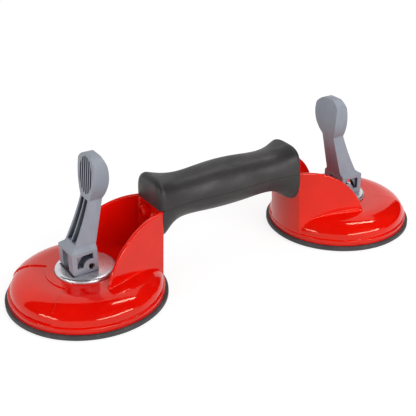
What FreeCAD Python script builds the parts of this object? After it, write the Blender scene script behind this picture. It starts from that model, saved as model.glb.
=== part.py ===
"""Double suction lifter for floor tiles.

Two identical die-cast cups stand side by side, each with a soft rubber pad under it and an
upright bracket with two splayed wings.  A two-shell handle joins the brackets.  On every cup a
cam lever turns about a pin in the eye of a central stem.  Folding the lever outward makes its
rounded toe press on the cam plate, which draws the stem and the middle of the pad upward.

Frame: millimetres, X along the handle, Z up, origin on the floor midway between the cups.
Every cup is modelled about its own centre with +X towards the handle, then set in place.
"""
import FreeCAD, Part
import math
import os

from FreeCAD import Vector

# ---------------------------------------------------------------- overall layout
CUP_SPACING = 233.4          # centre to centre of the two pads
PAD_RADIUS = 60.0

# ---------------------------------------------------------------- rubber pad
PAD_RIM_HEIGHT = 4.2         # visible rubber ring under the cup
PAD_WEB = 3.0                # rubber between the rim and the middle
PAD_RIM_WIDTH = 9.0          # thick outer ring that the cup stands on
PAD_LAND_WIDTH = 11.0        # flat sealing ring on the underside
PAD_LAND_RUN = 2.0           # slope from the sealing land up to the dish
PAD_RIM_RUN = 1.5            # slope from the rim down to the web
PAD_HUB_RUN = 3.0            # slope from the hub down to the web
PAD_DISH_DEPTH = 0.6         # shallow dish inside the sealing ring
PAD_EDGE_ROUND = 1.2
PAD_HUB_RADIUS = 25.0        # thick middle that holds the steel insert
PAD_HUB_HEIGHT = 6.6

# ---------------------------------------------------------------- steel insert and stem
INSERT_RADIUS = 20.0
INSERT_THICKNESS = 2.0
INSERT_FLOOR = 2.6           # rubber under the insert
INSERT_CLEARANCE = 0.2       # rubber pocket around the insert
STEM_RADIUS = 5.0
STEM_SHOULDER_RADIUS = 8.0
STEM_SHOULDER_HEIGHT = 1.4
STEM_RIVET_RADIUS = 3.5
STEM_FLAT_WIDTH = 9.0        # eye, measured along the pin
STEM_FLAT_MARGIN = 0.5       # the flats end this much below the folded toe
GUIDE_CLEARANCE = 0.08       # stem in its guide, radial

# ---------------------------------------------------------------- cast cup
WALL = 2.6
FLANGE_RADIUS = 57.7
FLANGE_HEIGHT = 4.6
FLANGE_ROUND = 1.0
FLANGE_STEP = 1.2            # the skirt stands this much inside the flange
SKIRT_HEIGHT = 5.8           # above the pad's rim, where the shoulder starts
SHOULDER_WIDTH = 20.0
SHOULDER_HEIGHT = 13.0
SEAT_DEPTH = 0.7             # locating recess for the cam plate
SEAT_CLEARANCE = 0.3
HUB_RADIUS = 9.5
HUB_BOTTOM = 17.0            # lower end of the stem guide
RIB_COUNT = 8
RIB_THICKNESS = 2.0
RIB_INNER_DEPTH = 3.4        # below the dome at the hub
RIB_ROOT = 1.0               # ribs start this far inside the stem guide
RIB_LEVEL_RUN = 8.0          # level part of a rib, outward of the stem guide
RIB_ROOT_DEPTH = 0.3         # ribs reach this far into the dome wall
RIB_OUTER_Z = 8.0            # lower edge of the ribs at the skirt

PANEL_INNER_RADIUS = 29.0    # shallow bare panel on the outward half of the dome
PANEL_HALF_ANGLE = 40.0
PANEL_DEPTH = 0.8

# ---------------------------------------------------------------- upright bracket
BRACKET_TOP = 62.0
BRACKET_FOOT_INSET = 0.6     # the back wall's outer face stands this much inside the flange
TALL_EDGE_SHARE = 0.9        # an edge over this share of the back wall is one of its corners
BRACKET_CORNER_HALF = 19.6   # half width of the back wall at its foot
BRACKET_LEAN = 2.2           # the wall's top stands this much further out than its foot
WING_TIP_X = 2.4
WING_TIP_HALF = 35.8
WING_TIP_Z = 25.6
WING_ROUND = 1.0             # rounded rim
CORNER_ROUND = 1.2
INNER_CORNER_ROUND = 2.5

# ---------------------------------------------------------------- cam plate
PLATE_RADIUS = 22.5
PLATE_THICKNESS = 3.5
PLATE_ROUND = 2.4
TROUGH_DEPTH = 3.05          # hollow under the lever's foot, for the toe to swing through
TROUGH_MIDDLE = 6.0          # its lowest line, outward of the stem
TROUGH_HALF = 9.1            # half its length across the plate
TROUGH_SIDE_CLEARANCE = 0.3

# ---------------------------------------------------------------- lever and its pin
PIN_RADIUS = 2.5
PIN_WALL = 0.8
PIN_LENGTH = 23.2
PIN_SPLIT = 0.6
PIN_RUNNING_CLEARANCE = 0.05
PIN_PRESS_CLEARANCE = 0.01
PIN_HEIGHT = 4.9             # pin centre above the cam plate, lever upright
TOE_REACH = 14.7             # pin centre to the lever's outward face
TOE_ROUND = 2.5
TOE_CLEARANCE = 0.12         # foot to cam plate, upright and folded
LEVER_BASE_HALF = 12.0
LEVER_SLOT_CLEARANCE = 0.35  # each side of the stem's eye
LEVER_SLOT_TOP = 10.5        # above the pin
LEVER_BLOCK_TOP = 12.5       # above the pin, where the foot narrows to the arm
LEVER_LEDGE = 2.8
NECK_LAP = 1.5               # the side view bends this much above the neck
ARM_FOOT_HALF = 8.9
ARM_NECK_HALF = 7.2
NECK_HEIGHT = 47.0
LEVER_FOOT_BACK = 5.2        # handle side of the foot, behind the pin
LEVER_FOOT_RISE = 13.0       # its top, above the pin
LEVER_FRONT_STEP = 4.3       # the arm's outward face starts this far behind the toe's
NECK_FRONT = 3.6             # faces of the arm at the neck, behind the pin
NECK_BACK = 13.8
ARM_HOLLOW = 0.8             # the arm's outward face bends in by this much
FACE_TOP_X = 7.2             # upper end of the thumb pad's outward face
FACE_TOP_Z = 80.3
BULGE_X = 17.3               # back of the thumb pad at its thickest
BULGE_Z = 63.5
BACK_TOP_X = 15.0            # upper end of its back
BACK_TOP_Z = 80.4
PADDLE_HALF = 13.2
PADDLE_FLANK_HALF = 12.5     # half width part of the way up the thumb pad
PADDLE_FLANK = 60.5
PADDLE_LAP = 1.5             # the thumb pad starts this much above the neck
PADDLE_SHOULDER = 74.8       # where the sides meet the rounded top
PADDLE_TOP = 81.4
LEVER_RAIL = 2.1             # side rails of the arm
LEVER_RIB = 1.3              # rib down the middle of the arm
LEVER_SKIN = 3.0             # closed back of the arm
ARM_POCKET_LOW = 17.0
ARM_POCKET_LAP = 1.1         # the arm's pockets end this much above the neck
GRIP_SLOTS = 6
GRIP_SLOT_WIDTH = 2.0
GRIP_SLOT_PITCH = 3.4
GRIP_SLOT_DEPTH = 3.0
GRIP_RING = 2.8              # plain ring round the thumb pad's slots
GRIP_OVAL_RAISE = 0.5        # middle of the oval over the middle of the thumb pad
WINDOW_DEPTH = 2.4           # square recess in the side of the foot
WINDOW_REACH = 10.8
WINDOW_BACK = 1.8
WINDOW_SILL = 0.4            # above the pin
WINDOW_FALL = 1.0            # slope of the recess over its length
PIN_BOSS_RADIUS = 6.2
ARC_SLOT_WIDTH = 3.6

# ---------------------------------------------------------------- handle
HANDLE_END_ROUND = 4.0
SHELL_WALL = 3.4
SHELL_GAP = 0.1              # lower shell's end to the bracket
# distance from the end face (negative past it), half width, rise and drop from the parting plane, squareness
HANDLE_STATIONS = (
    (45.1, 17.0, 19.4, 16.4, 2.0),
    (27.1, 16.1, 18.0, 15.6, 2.1),
    (17.1, 16.9, 18.6, 17.0, 2.3),
    (9.1, 18.4, 20.0, 21.6, 2.8),
    (-0.9, 19.6, 21.6, 23.8, 3.4),
)
HANDLE_MIDDLE = (17.6, 20.3, 16.8, 2.0)
SECTION_POINTS = 9           # on each quarter of a section
SHELL_BLOCK = 18.0           # solid end of the lower shell, from the bracket
SHELL_TRIM = 4.0             # stock left past the brackets before the shell is fitted to them
SHELL_CAP = 14.0             # solid end of the upper shell, from its end face
SHELL_RIB_THICKNESS = 2.4
SHELL_RIB_SPACING = 14.0
SHELL_BOSS_RADIUS = 5.4
SHELL_SCREW_RADIUS = 2.0
SHELL_SCREW_HEAD_RADIUS = 3.6
SHELL_SCREW_HEAD = 2.4
SHELL_SCREW_SPACING = 27.0
SHELL_SCREW_BITE = 9.0       # thread in the upper shell
SHELL_SCREW_SEAT = 6.0       # plastic under the head, up to the parting plane
SHELL_SCREW_CLEARANCE = 0.25

HANDLE_SCREW_HALF = 8.5      # half the distance between the two screws in a bracket
HANDLE_SCREW_Z = 51.5
HANDLE_SCREW_RADIUS = 3.0
HANDLE_SCREW_HEAD_RADIUS = 5.3
HANDLE_SCREW_HEAD = 3.0
HANDLE_SCREW_CROWN = 2.1     # round of the button head
HANDLE_SCREW_LENGTH = 16.0   # under the head
HANDLE_SCREW_CLEARANCE = 0.3
HANDLE_BOSS_RADIUS = 6.4     # flat seat for the head on the curved back wall
HANDLE_BOSS_STEP = 0.4       # seat for the head, outward of the back wall's corners
HEX_RECESS_RADIUS = 2.2
HEX_RECESS_DEPTH = 1.8
NUT_RADIUS = 4.0             # brass insert
NUT_LENGTH = 7.0
NUT_DEPTH = 2.0              # below the shell's end
THREAD_CLEARANCE = 0.02      # screw in its thread, radial

# ---------------------------------------------------------------- derived sizes
SEAT_Z = PAD_RIM_HEIGHT + SKIRT_HEIGHT + SHOULDER_HEIGHT - SEAT_DEPTH
DOME_TOP = PAD_RIM_HEIGHT + SKIRT_HEIGHT + SHOULDER_HEIGHT
PLATE_TOP = SEAT_Z + PLATE_THICKNESS
PIN_Z = PLATE_TOP + PIN_HEIGHT
LIFT = TOE_REACH - PIN_HEIGHT
EYE_RADIUS = STEM_RADIUS
STEM_FLAT_LENGTH = TOE_REACH + STEM_FLAT_MARGIN
SKIRT_RADIUS = FLANGE_RADIUS - FLANGE_STEP
BRACKET_FOOT_RADIUS = FLANGE_RADIUS - BRACKET_FOOT_INSET
BRACKET_FOOT_Z = PAD_RIM_HEIGHT + FLANGE_HEIGHT / 2
WALL_CORNER_X = math.sqrt(BRACKET_FOOT_RADIUS ** 2 - BRACKET_CORNER_HALF ** 2)
HANDLE_REACH = CUP_SPACING / 2 - WALL_CORNER_X
HANDLE_BOSS_FACE = WALL_CORNER_X + HANDLE_BOSS_STEP
NECK_BEND_Z = NECK_HEIGHT + NECK_LAP
PADDLE_LOW = NECK_HEIGHT + PADDLE_LAP
ARM_POCKET_HIGH = NECK_HEIGHT + ARM_POCKET_LAP
INSERT_TOP = INSERT_FLOOR + INSERT_THICKNESS
BORE_RADIUS = STEM_RADIUS + GUIDE_CLEARANCE
ARC_SAG = 1 - math.sqrt(0.5)    # middle of a quarter round, as a share of its radius
BIG = 200.0


# ---------------------------------------------------------------- small builders
def cylinder(radius, start, end, axis, across=(0.0, 0.0)):
    """Round bar along "x", "y" or "z"; `across` gives its centre on the other two axes in order."""
    first, second = across
    place = {
        "x": (Vector(start, first, second), Vector(1, 0, 0)),
        "y": (Vector(first, start, second), Vector(0, 1, 0)),
        "z": (Vector(first, second, start), Vector(0, 0, 1)),
    }
    base, direction = place[axis]
    return Part.makeCylinder(radius, end - start, base, direction)


def box(x_range, y_range, z_range):
    """Block between the given limits."""
    corner = Vector(x_range[0], y_range[0], z_range[0])
    return Part.makeBox(x_range[1] - x_range[0], y_range[1] - y_range[0], z_range[1] - z_range[0], corner)


def polyline(points):
    """Straight edges through the points, left open."""
    return [Part.LineSegment(a, b).toShape() for a, b in zip(points, points[1:])]


def closed_face(edges):
    """Face inside a chain of edges."""
    return Part.Face(Part.Wire(Part.__sortEdges__(edges)))


def outline_face(points):
    """Flat face with straight sides."""
    return closed_face(polyline(list(points) + [points[0]]))


def slab_y(points, y_range):
    """Outline in X and Z, given as pairs, pulled along Y."""
    face = outline_face([Vector(x, y_range[0], z) for x, z in points])
    return face.extrude(Vector(0, y_range[1] - y_range[0], 0))


def slab_z(points, z_range):
    """Outline in X and Y, given as pairs, pulled along Z."""
    face = outline_face([Vector(x, y, z_range[0]) for x, y in points])
    return face.extrude(Vector(0, 0, z_range[1] - z_range[0]))


def slab_x(points, x_range):
    """Outline in Y and Z, given as pairs, pulled along X."""
    face = outline_face([Vector(x_range[0], y, z) for y, z in points])
    return face.extrude(Vector(x_range[1] - x_range[0], 0, 0))


def turned(edges):
    """Solid of revolution about Z from edges in the X-Z plane, with its seam on the -X side."""
    solid = closed_face(edges).revolve(Vector(0, 0, 0), Vector(0, 0, 1), 360)
    solid.rotate(Vector(0, 0, 0), Vector(0, 0, 1), 180)
    return solid


def turned_points(points):
    """Solid of revolution about Z from an outline of radius and height pairs."""
    return outline_face([Vector(r, 0, z) for r, z in points]).revolve(Vector(0, 0, 0), Vector(0, 0, 1), 360)


def mirrored_y(shape):
    """Copy on the other side of the X-Z plane."""
    return shape.mirror(Vector(0, 0, 0), Vector(0, 1, 0))


def tidy(shape):
    """Merge faces that lie on one surface."""
    return shape.removeSplitter()


# ---------------------------------------------------------------- rubber pad and what it holds
def rubber_pad():
    """Soft disc with a thick rim, a sealing ring below and a pocket for the steel insert."""
    land = PAD_RADIUS - PAD_LAND_WIDTH
    pad = turned_points([
        (0, PAD_DISH_DEPTH),
        (land - PAD_LAND_RUN, PAD_DISH_DEPTH),
        (land, 0),
        (PAD_RADIUS - PAD_EDGE_ROUND, 0),
        (PAD_RADIUS, PAD_EDGE_ROUND),
        (PAD_RADIUS, PAD_RIM_HEIGHT - PAD_EDGE_ROUND / 2),
        (PAD_RADIUS - PAD_EDGE_ROUND / 2, PAD_RIM_HEIGHT),
        (PAD_RADIUS - PAD_RIM_WIDTH, PAD_RIM_HEIGHT),
        (PAD_RADIUS - PAD_RIM_WIDTH - PAD_RIM_RUN, PAD_DISH_DEPTH + PAD_WEB),
        (PAD_HUB_RADIUS + PAD_HUB_RUN, PAD_DISH_DEPTH + PAD_WEB),
        (PAD_HUB_RADIUS, PAD_HUB_HEIGHT),
        (0, PAD_HUB_HEIGHT),
    ])
    pocket = cylinder(INSERT_RADIUS + INSERT_CLEARANCE, INSERT_FLOOR, INSERT_TOP + INSERT_CLEARANCE, "z")
    mouth = cylinder(STEM_SHOULDER_RADIUS + INSERT_CLEARANCE, INSERT_FLOOR, PAD_HUB_HEIGHT, "z")
    return pad.cut(pocket).cut(mouth)


def pad_insert():
    """Steel disc moulded into the pad, with a hole for the stem's rivet end."""
    disc = cylinder(INSERT_RADIUS, INSERT_FLOOR, INSERT_TOP, "z")
    return disc.cut(cylinder(STEM_RIVET_RADIUS, INSERT_FLOOR, INSERT_TOP, "z"))


def lift_stem():
    """Round stem, riveted to the insert, with a flat eye for the lever's pin."""
    stem = cylinder(STEM_RADIUS, INSERT_TOP, PIN_Z, "z")
    stem = stem.fuse(cylinder(STEM_SHOULDER_RADIUS, INSERT_TOP, INSERT_TOP + STEM_SHOULDER_HEIGHT, "z"))
    stem = stem.fuse(cylinder(STEM_RIVET_RADIUS, INSERT_FLOOR, INSERT_TOP, "z"))
    eye = cylinder(EYE_RADIUS, -STEM_FLAT_WIDTH / 2, STEM_FLAT_WIDTH / 2, "y", (0, PIN_Z))
    stem = stem.fuse(eye)
    for side in (-1, 1):
        near = side * STEM_FLAT_WIDTH / 2
        far = side * 2 * STEM_RADIUS
        flat = box((-BIG, BIG), sorted((near, far)), (PIN_Z - STEM_FLAT_LENGTH, BIG))
        stem = stem.cut(flat)
    hole = cylinder(PIN_RADIUS + PIN_PRESS_CLEARANCE, -BIG, BIG, "y", (0, PIN_Z))
    return tidy(stem.cut(hole))


def pivot_pin():
    """Rolled spring pin, a split tube."""
    half = PIN_LENGTH / 2
    tube = cylinder(PIN_RADIUS, -half, half, "y", (0, PIN_Z))
    tube = tube.cut(cylinder(PIN_RADIUS - PIN_WALL, -half, half, "y", (0, PIN_Z)))
    split = box((0, 2 * PIN_RADIUS), (-half, half), (PIN_Z - PIN_SPLIT / 2, PIN_Z + PIN_SPLIT / 2))
    return tube.cut(split)


# ---------------------------------------------------------------- cast cup
def shoulder(offset):
    """Quarter ellipse from the skirt to the dome's top, moved inward by `offset`."""
    centre = Vector(SKIRT_RADIUS - SHOULDER_WIDTH, 0, PAD_RIM_HEIGHT + SKIRT_HEIGHT)
    across = SHOULDER_WIDTH - offset
    up = SHOULDER_HEIGHT - offset
    side_point = centre + Vector(across, 0, 0)
    top_point = centre + Vector(0, 0, up)
    ellipse = Part.Ellipse(side_point, top_point, centre)
    return Part.ArcOfEllipse(ellipse, 0, math.pi / 2).toShape(), side_point, top_point


def dome_outer():
    """Solid inside the dome's outer skin, down to the pad's rim."""
    base = PAD_RIM_HEIGHT
    flange_top = base + FLANGE_HEIGHT
    arc, side_point, top_point = shoulder(0.0)
    rounding = Part.Arc(
        Vector(FLANGE_RADIUS, 0, flange_top - FLANGE_ROUND),
        Vector(FLANGE_RADIUS - ARC_SAG * FLANGE_ROUND, 0, flange_top - ARC_SAG * FLANGE_ROUND),
        Vector(FLANGE_RADIUS - FLANGE_ROUND, 0, flange_top),
    ).toShape()
    below = polyline([Vector(0, 0, base), Vector(FLANGE_RADIUS, 0, base),
                      Vector(FLANGE_RADIUS, 0, flange_top - FLANGE_ROUND)])
    step = polyline([Vector(FLANGE_RADIUS - FLANGE_ROUND, 0, flange_top),
                     Vector(SKIRT_RADIUS, 0, flange_top), side_point])
    above = polyline([top_point, Vector(0, 0, DOME_TOP), Vector(0, 0, base)])
    return turned(below + [rounding] + step + [arc] + above)


def dome_inner(offset=WALL):
    """Solid that fills the hollow under the dome, `offset` inside the outer skin."""
    base = PAD_RIM_HEIGHT
    arc, side_point, top_point = shoulder(offset)
    below = polyline([Vector(0, 0, base), Vector(side_point.x, 0, base), side_point])
    above = polyline([top_point, Vector(0, 0, top_point.z), Vector(0, 0, base)])
    return turned(below + [arc] + above)


def wing_line():
    """Slope and offset of the wings' outer plane: y = offset + slope * x on the +Y side."""
    slope = (BRACKET_CORNER_HALF - WING_TIP_HALF) / (WALL_CORNER_X - WING_TIP_X)
    return slope, WING_TIP_HALF - slope * WING_TIP_X


def bracket_block(offset, x_start):
    """Solid inside the bracket's outer faces, moved inward by `offset`."""
    slope, height = wing_line()
    inward = offset * math.hypot(1.0, slope)
    near = height + slope * x_start - inward
    far = height + slope * BIG / 2 - inward
    plan = [(x_start, -near), (BIG / 2, -far), (BIG / 2, far), (x_start, near)]
    rise = BRACKET_TOP - BRACKET_FOOT_Z
    cone = Part.makeCone(BRACKET_FOOT_RADIUS - offset, BRACKET_FOOT_RADIUS + BRACKET_LEAN - offset, rise,
                         Vector(0, 0, BRACKET_FOOT_Z), Vector(0, 0, 1))
    cone.rotate(Vector(0, 0, 0), Vector(0, 0, 1), 180)
    return cone.common(slab_z(plan, (BRACKET_FOOT_Z, BRACKET_TOP)))


def wing_top_keep():
    """Everything below the bracket's upper edge: an arc from the wing's tip, then level."""
    run = WALL_CORNER_X - WING_TIP_X
    drop = BRACKET_TOP - WING_TIP_Z
    radius = (run ** 2 + drop ** 2) / (2 * drop)
    centre = Vector(WALL_CORNER_X, -BIG / 2, BRACKET_TOP - radius)
    half_turn = math.asin(run / radius) / 2
    middle = centre + Vector(-radius * math.sin(half_turn), 0, radius * math.cos(half_turn))
    tip = Vector(WING_TIP_X, -BIG / 2, WING_TIP_Z)
    shoulder_point = centre + Vector(0, 0, radius)
    arc = Part.Arc(tip, middle, shoulder_point).toShape()
    rest = polyline([shoulder_point, Vector(BIG / 2, -BIG / 2, BRACKET_TOP), Vector(BIG / 2, -BIG / 2, 0),
                     Vector(WING_TIP_X, -BIG / 2, 0), tip])
    return closed_face([arc] + rest).extrude(Vector(0, BIG, 0))


def bracket():
    """U-shaped upright: curved back wall and two splayed wings with a rounded rim."""
    walls = bracket_block(0.0, WING_TIP_X).cut(bracket_block(WALL, WING_TIP_X - 10.0))
    walls = walls.common(wing_top_keep())
    return walls


def sampled(edge):
    """Points along an edge, both ends included."""
    low, high = edge.ParameterRange
    return [edge.valueAt(low + (high - low) * part / 6) for part in range(7)]


def upper_edge_height(x):
    """Height of the bracket's upper edge over the given x."""
    run = WALL_CORNER_X - WING_TIP_X
    drop = BRACKET_TOP - WING_TIP_Z
    radius = (run ** 2 + drop ** 2) / (2 * drop)
    reach = max(WALL_CORNER_X - x, 0.0)
    return BRACKET_TOP - radius + math.sqrt(radius ** 2 - reach ** 2)


def rounded_bracket():
    """The bracket with its vertical corners, its rim and its wing tips rounded."""
    walls = bracket()
    rise = (BRACKET_TOP - BRACKET_FOOT_Z) * TALL_EDGE_SHARE

    def corner_edges(shape, inside):
        limit = BRACKET_CORNER_HALF - WALL / 2
        found = []
        for edge in shape.Edges:
            start, end = edge.Vertexes[0].Point, edge.Vertexes[-1].Point
            tall = abs(end.z - start.z) > rise
            half = max(abs(start.y), abs(end.y))
            if tall and half > WALL and min(start.x, end.x) > WALL_CORNER_X - 3 * WALL:
                if (half < limit) == inside:
                    found.append(edge)
        return found

    walls = walls.makeFillet(INNER_CORNER_ROUND, corner_edges(walls, True))
    walls = walls.makeFillet(CORNER_ROUND, corner_edges(walls, False))
    rim = []
    for edge in walls.Edges:
        points = sampled(edge)
        spread = max(p.x for p in points) - min(p.x for p in points)
        on_top = all(abs(p.z - upper_edge_height(p.x)) < 0.02 for p in points)
        at_tip = all(abs(p.x - WING_TIP_X) < 0.01 for p in points)
        if (on_top and spread > 0.01) or (at_tip and points[3].z > BRACKET_FOOT_Z + 1.0):
            rim.append(edge)
    return walls.makeFillet(WING_ROUND, rim)


def panel_recess():
    """Shallow sector let into the outward half of the dome, from its top down to the flange."""
    flange_top = PAD_RIM_HEIGHT + FLANGE_HEIGHT
    skin = dome_outer().cut(dome_inner(PANEL_DEPTH))
    reach = 2 * PAD_RADIUS
    half = math.radians(PANEL_HALF_ANGLE)
    wedge = slab_z([(0, 0), (-reach * math.cos(half), reach * math.sin(half)),
                    (-reach, 0), (-reach * math.cos(half), -reach * math.sin(half))], (flange_top, BIG))
    wedge = wedge.cut(cylinder(PANEL_INNER_RADIUS, 0, BIG, "z"))
    return skin.common(wedge)


def stiffening_ribs():
    """Radial ribs under the dome, between the stem guide and the skirt."""
    inner_z = DOME_TOP - WALL - RIB_INNER_DEPTH
    outer = SKIRT_RADIUS - WALL / 2
    root = HUB_RADIUS - RIB_ROOT
    outline = [(root, inner_z), (HUB_RADIUS + RIB_LEVEL_RUN, inner_z), (outer, RIB_OUTER_Z),
               (outer, DOME_TOP), (root, DOME_TOP)]
    rib = slab_y(outline, (-RIB_THICKNESS / 2, RIB_THICKNESS / 2))
    hollow = dome_inner(WALL - RIB_ROOT_DEPTH)
    ribs = []
    for index in range(RIB_COUNT):
        turned_rib = rib.copy()
        turned_rib.rotate(Vector(0, 0, 0), Vector(0, 0, 1), (index + 0.5) * 360 / RIB_COUNT)
        ribs.append(turned_rib.common(hollow))
    return ribs


def handle_screw_places():
    """Sideways positions of the screws in one bracket."""
    return (-HANDLE_SCREW_HALF, HANDLE_SCREW_HALF)


def cup_body():
    """Die-cast cup: dome with flange and ribs, stem guide, and the bracket in one piece."""
    body = dome_outer().fuse(rounded_bracket())
    body = body.cut(dome_inner())
    body = body.cut(panel_recess())
    guide = cylinder(HUB_RADIUS, HUB_BOTTOM, SEAT_Z, "z")
    body = body.multiFuse([guide] + stiffening_ribs())
    body = body.cut(cylinder(PLATE_RADIUS + SEAT_CLEARANCE, SEAT_Z, DOME_TOP + 1, "z"))
    body = body.cut(cylinder(BORE_RADIUS, 0, BIG, "z"))
    wall_solid = bracket_block(WALL / 2, WING_TIP_X)
    for y in handle_screw_places():
        boss = cylinder(HANDLE_BOSS_RADIUS, HANDLE_BOSS_FACE, FLANGE_RADIUS + 1, "x", (y, HANDLE_SCREW_Z))
        body = body.fuse(boss.common(wall_solid))
    for y in handle_screw_places():
        hole = cylinder(HANDLE_SCREW_RADIUS + HANDLE_SCREW_CLEARANCE, HANDLE_BOSS_FACE - 5, BIG, "x",
                        (y, HANDLE_SCREW_Z))
        body = body.cut(hole)
    return tidy(body)


def cam_plate():
    """Round plate with a rolled rim, for the lever's foot to press on."""
    top = PLATE_TOP
    rim = Part.Arc(
        Vector(PLATE_RADIUS, 0, top - PLATE_ROUND),
        Vector(PLATE_RADIUS - ARC_SAG * PLATE_ROUND, 0, top - ARC_SAG * PLATE_ROUND),
        Vector(PLATE_RADIUS - PLATE_ROUND, 0, top),
    ).toShape()
    rest = polyline([Vector(PLATE_RADIUS - PLATE_ROUND, 0, top), Vector(BORE_RADIUS, 0, top),
                     Vector(BORE_RADIUS, 0, SEAT_Z), Vector(PLATE_RADIUS, 0, SEAT_Z),
                     Vector(PLATE_RADIUS, 0, top - PLATE_ROUND)])
    plate = turned([rim] + rest)
    radius = (TROUGH_HALF ** 2 + TROUGH_DEPTH ** 2) / (2 * TROUGH_DEPTH)
    half = LEVER_BASE_HALF + TROUGH_SIDE_CLEARANCE
    trough = cylinder(radius, -half, half, "y", (-TROUGH_MIDDLE, top + radius - TROUGH_DEPTH))
    return plate.cut(trough)


def handle_screws():
    """Two button-head screws with a hexagon socket, through the back wall."""
    screws = []
    face = HANDLE_BOSS_FACE
    for y in handle_screw_places():
        place = (y, HANDLE_SCREW_Z)
        head = cylinder(HANDLE_SCREW_HEAD_RADIUS, face - HANDLE_SCREW_HEAD, face, "x", place)
        crown = [edge for edge in head.Edges if abs(edge.CenterOfMass.x - face + HANDLE_SCREW_HEAD) < 0.01]
        head = head.makeFillet(HANDLE_SCREW_CROWN, crown)
        shank = cylinder(HANDLE_SCREW_RADIUS, face, face + HANDLE_SCREW_LENGTH, "x", place)
        corners = []
        for corner in range(6):
            angle = math.radians(60 * corner)
            corners.append((y + HEX_RECESS_RADIUS * math.cos(angle),
                            HANDLE_SCREW_Z + HEX_RECESS_RADIUS * math.sin(angle)))
        socket = slab_x(corners, (face - HANDLE_SCREW_HEAD - 1, face - HANDLE_SCREW_HEAD + HEX_RECESS_DEPTH))
        screws.append(head.fuse(shank).cut(socket))
    return Part.makeCompound(screws)


def insert_start():
    """Outer end of the brass inserts, from the cup's centre."""
    return BRACKET_FOOT_RADIUS + BRACKET_LEAN + SHELL_GAP + NUT_DEPTH


def threaded_inserts():
    """Two brass inserts inside the lower shell's end."""
    inserts = []
    start = insert_start()
    for y in handle_screw_places():
        place = (y, HANDLE_SCREW_Z)
        bush = cylinder(NUT_RADIUS, start, start + NUT_LENGTH, "x", place)
        bore = cylinder(HANDLE_SCREW_RADIUS + THREAD_CLEARANCE, start, start + NUT_LENGTH, "x", place)
        inserts.append(bush.cut(bore))
    return Part.makeCompound(inserts)


# ---------------------------------------------------------------- lever
def lever_point(x, z):
    """Point of the lever's side view, from the pin's centre."""
    return Vector(x, 0, z)


def lever_side():
    """Side view of the lever as a slab, wider than the lever."""
    front = -(TOE_REACH - TOE_CLEARANCE)
    sole = -(PIN_HEIGHT - TOE_CLEARANCE)
    toe_low = lever_point(front + TOE_ROUND, sole)
    toe_high = lever_point(front, sole + TOE_ROUND)
    toe = Part.Arc(toe_low, lever_point(front + ARC_SAG * TOE_ROUND, sole + ARC_SAG * TOE_ROUND), toe_high).toShape()
    neck_front = lever_point(NECK_FRONT, NECK_BEND_Z)
    neck_back = lever_point(NECK_BACK, NECK_BEND_Z)
    face_top = lever_point(FACE_TOP_X, FACE_TOP_Z)
    back_top = lever_point(BACK_TOP_X, BACK_TOP_Z)
    arm_foot = lever_point(front + LEVER_FRONT_STEP, LEVER_BLOCK_TOP + LEVER_LEDGE)
    hollow = (arm_foot + neck_front) * 0.5 + Vector(ARM_HOLLOW, 0, 0)
    outward = polyline([toe_high, lever_point(front, LEVER_BLOCK_TOP), arm_foot])
    arm_face = Part.Arc(arm_foot, hollow, neck_front).toShape()
    thumb_face = polyline([neck_front, face_top])
    crown = Part.Arc(face_top, lever_point((face_top.x + back_top.x) / 2, PADDLE_TOP), back_top).toShape()
    back = Part.Arc(back_top, lever_point(BULGE_X, BULGE_Z), neck_back).toShape()
    inward = polyline([neck_back, lever_point(LEVER_FOOT_BACK, LEVER_FOOT_RISE),
                       lever_point(LEVER_FOOT_BACK, sole), toe_low])
    face = closed_face([toe] + outward + [arm_face] + thumb_face + [crown, back] + inward)
    face.translate(Vector(0, -BIG / 2, 0))
    return face.extrude(Vector(0, BIG, 0))


def lever_front():
    """Front view of the lever as a slab: foot, tapering arm and oval thumb pad."""
    block = slab_x([(-LEVER_BASE_HALF, -BIG / 4), (LEVER_BASE_HALF, -BIG / 4),
                    (LEVER_BASE_HALF, LEVER_BLOCK_TOP), (ARM_FOOT_HALF, LEVER_BLOCK_TOP + LEVER_LEDGE),
                    (ARM_NECK_HALF, NECK_HEIGHT), (ARM_NECK_HALF, NECK_HEIGHT + 4),
                    (-ARM_NECK_HALF, NECK_HEIGHT + 4), (-ARM_NECK_HALF, NECK_HEIGHT),
                    (-ARM_FOOT_HALF, LEVER_BLOCK_TOP + LEVER_LEDGE), (-LEVER_BASE_HALF, LEVER_BLOCK_TOP)],
                   (-BIG / 2, BIG / 2))
    x = -BIG / 2
    low = [Vector(x, side * ARM_NECK_HALF, PADDLE_LOW) for side in (-1, 1)]
    high = [Vector(x, side * PADDLE_HALF, PADDLE_SHOULDER) for side in (-1, 1)]
    flank = [Vector(x, side * PADDLE_FLANK_HALF, PADDLE_FLANK) for side in (-1, 1)]
    edges = [
        Part.LineSegment(low[0], low[1]).toShape(),
        Part.Arc(low[0], flank[0], high[0]).toShape(),
        Part.Arc(high[0], Vector(x, 0, PADDLE_TOP), high[1]).toShape(),
        Part.Arc(high[1], flank[1], low[1]).toShape(),
    ]
    paddle = closed_face(edges).extrude(Vector(BIG, 0, 0))
    return block.fuse(paddle)


def arm_half(z):
    """Half width of the arm at height z above the pin."""
    foot = LEVER_BLOCK_TOP + LEVER_LEDGE
    share = (z - foot) / (NECK_HEIGHT - foot)
    return ARM_FOOT_HALF + (ARM_NECK_HALF - ARM_FOOT_HALF) * share


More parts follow.
